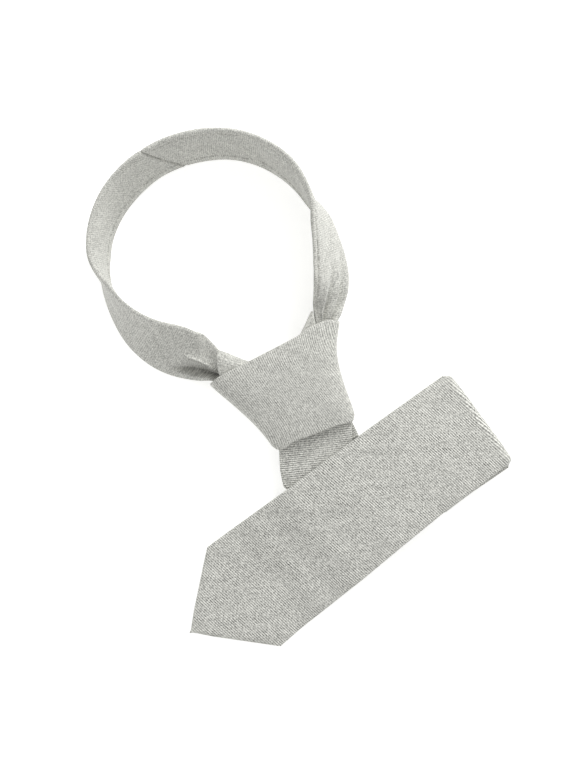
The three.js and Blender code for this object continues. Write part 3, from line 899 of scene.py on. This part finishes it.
def twill(name, colour, wale, yarns):
    material = bpy.data.materials.new(name)
    material.use_nodes = True
    tree = material.node_tree
    tree.nodes.clear()
    uv = add_node(tree, "ShaderNodeUVMap", {"uv_map": "cloth"})
    threads = add_node(tree, "ShaderNodeMapping", {
        "Rotation": (0, 0, WARP_TURN), "Scale": (1 / MM, 1 / MM, 1)}, {0: uv.outputs[0]})
    noises = {}
    for key, (fine_across, fine_along, detail, seed) in NOISES.items():
        spread = add_node(tree, "ShaderNodeMapping", {
            "Scale": (fine_across, fine_along, 1), "Location": (seed, seed, 0)},
            {0: threads.outputs[0]})
        texture = add_node(tree, "ShaderNodeTexNoise", {"Scale": 1, "Detail": detail},
                           {0: spread.outputs[0]})
        noises[key] = texture.outputs[0]

    grid = add_node(tree, "ShaderNodeVectorMath", {"operation": "MULTIPLY", 1: CROSSINGS},
                    {0: threads.outputs[0]})
    cells = add_node(tree, "ShaderNodeVectorMath", {"operation": "FLOOR"}, {0: grid.outputs[0]})
    shades = add_node(tree, "ShaderNodeTexWhiteNoise", {"noise_dimensions": "2D"},
                      {0: cells.outputs[0]})
    noises["crossings"] = shades.outputs[0]

    parts = add_node(tree, "ShaderNodeSeparateXYZ", None, {0: threads.outputs[0]})
    diagonal = add_node(tree, "ShaderNodeMath", {"operation": "ADD"},
                        {0: parts.outputs[0], 1: parts.outputs[1]})
    bend = add_node(tree, "ShaderNodeMath", {"operation": "MULTIPLY", 1: WOBBLE},
                    {0: noises["wobble"]})
    phase = add_node(tree, "ShaderNodeMath", {
        "operation": "MULTIPLY_ADD", 1: 2 * math.pi / (WALE_SPACING * math.sqrt(2))},
        {0: diagonal.outputs[0], 2: bend.outputs[0]})
    lines = add_node(tree, "ShaderNodeMath", {"operation": "SINE"}, {0: phase.outputs[0]})
    clear = add_node(tree, "ShaderNodeMath", {"operation": "MULTIPLY", 1: 2 * wale},
                     {0: noises["patches"]})
    shown = add_node(tree, "ShaderNodeMath", {"operation": "MULTIPLY"},
                     {0: lines.outputs[0], 1: clear.outputs[0]})
    shade = add_node(tree, "ShaderNodeMath", {
        "operation": "ADD", 1: 1 - sum(yarns.values()) / 2}, {0: shown.outputs[0]})
    for key, strength in yarns.items():
        shade = add_node(tree, "ShaderNodeMath", {"operation": "MULTIPLY_ADD", 1: strength},
                         {0: noises[key], 2: shade.outputs[0]})
    tint = add_node(tree, "ShaderNodeVectorMath", {
        "operation": "SCALE", 0: to_linear(colour)[:3]}, {"Scale": shade.outputs[0]})

    height = add_node(tree, "ShaderNodeMath", {"operation": "MULTIPLY_ADD", 1: WARP_IN_BUMP},
                      {0: noises["warp"], 2: lines.outputs[0]})
    bump = add_node(tree, "ShaderNodeBump", {"Strength": BUMP_STRENGTH, "Distance": WALE_BUMP},
                    {"Height": height.outputs[0]})
    # Wool scatters light: it is rough, with a weak highlight and a little sheen of raised fibres.
    shader = add_node(tree, "ShaderNodeBsdfPrincipled", {
        "Roughness": 0.86, "Sheen Weight": 0.25, "Sheen Roughness": 0.5,
        "Specular IOR Level": 0.25}, {"Base Color": tint.outputs[0], "Normal": bump.outputs[0]})
    add_node(tree, "ShaderNodeOutputMaterial", None, {"Surface": shader.outputs[0]})
    print(f"{name}: {len(tree.nodes)} nodes, lines every {WALE_SPACING} mm")
    return material


# The blade is the least handled part, so its lines and its heathered crossings show the most.
blade_twill = twill("heathered wool and silk twill, pressed flat", LIGHT_GREY, 0.4,
                    {"warp": 0.2, "weft": 0.2, "slubs": 0.25, "crossings": 0.9})
# The knot's cloth is stretched over a curve, and so it is a little more even.
knot_twill = twill("heathered wool and silk twill, drawn tight", LIGHT_GREY, 0.26,
                   {"warp": 0.2, "weft": 0.2, "slubs": 0.2, "crossings": 0.7})
# The neck band is rubbed smooth by the collar.
band_twill = twill("heathered wool and silk twill, worn smooth", LIGHT_GREY, 0.1,
                   {"warp": 0.35, "weft": 0.3, "slubs": 0.25, "crossings": 0.7})

# %% [markdown]
# ## Dress each piece
#
# Each piece rides with the tie, stands for its imported solid, which is hidden, and takes the one
# slot's finish.

# %% Give the pieces their finish
BAND_PIECES = ["neck_band_left_cloth", "neck_band_right_cloth"]
PIECES = [
    # strip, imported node, finish, how it is held, what it lies on
    (band_left, "neck_band_left", band_twill, "folded", ["floor"]),
    (band_right, "neck_band_right", band_twill, "folded", ["floor"]),
    (inner_wrap, "knot_inner_wrap", band_twill, "folded", BAND_PIECES),
    (front_wrap, "knot_front_wrap", knot_twill, "folded", ["knot_inner_wrap_cloth"]),
    (front_blade, "front_blade", blade_twill, "folded", ["tail_blade_cloth"]),
    (tail_blade, "tail_blade", blade_twill, "laid", ["floor"]),
]
for (piece, width, length), node, finish, held, rests_on in PIECES:
    piece.data.materials.append(finish)
    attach(piece, "root")
    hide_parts(node)
print("pieces handed over:", len(PIECES))

# %% [markdown]
# ## Table and light
#
# The tie lies on a plain white table in soft studio light. One lamp beyond the knot's upper right
# shades the folds, and an even bright surround fills the shadows. The card glows a little, so
# that it stays plain white round the tie.

# %% The table
FLOOR_HALF = 2.5
# Uncoated card is matt, with no gloss that would show the lamp.
CARD = {
    # socket of the shader: its value
    "Base Color": to_linear("#e8e8e6"),
    "Roughness": 0.9,
    "Emission Color": (1, 1, 1, 1),
    "Emission Strength": 0.5,
}

floor_mesh = bpy.data.meshes.new("floor")
bm = bmesh.new()
bmesh.ops.create_grid(bm, x_segments=1, y_segments=1, size=FLOOR_HALF)
bm.to_mesh(floor_mesh)
bm.free()
floor = bpy.data.objects.new("floor", floor_mesh)
scene.collection.objects.link(floor)
card = bpy.data.materials.new("matt white card")
card.use_nodes = True
for socket, value in CARD.items():
    card.node_tree.nodes["Principled BSDF"].inputs[socket].default_value = value
floor_mesh.materials.append(card)
print("table:", [round(size, 1) for size in floor.dimensions])

# %% The light
def lamp(name, place, size, power):
    data = bpy.data.lights.new(name, "AREA")
    data.shape = "DISK"
    data.size = size
    data.energy = power
    light = bpy.data.objects.new(name, data)
    light.location = place
    aim = -light.location
    light.rotation_euler = aim.to_track_quat("-Z", "Y").to_euler()
    scene.collection.objects.link(light)


lamp("key", place=(0.42, 0.85, 0.5), size=0.5, power=7.0)
world = bpy.data.worlds.new("studio")
scene.world = world
world.use_nodes = True
for socket, value in {"Color": (1, 1, 1, 1), "Strength": 0.76}.items():
    world.node_tree.nodes["Background"].inputs[socket].default_value = value
scene.view_settings.view_transform = "Standard"
print("lamps:", [light.name for light in bpy.data.lights])
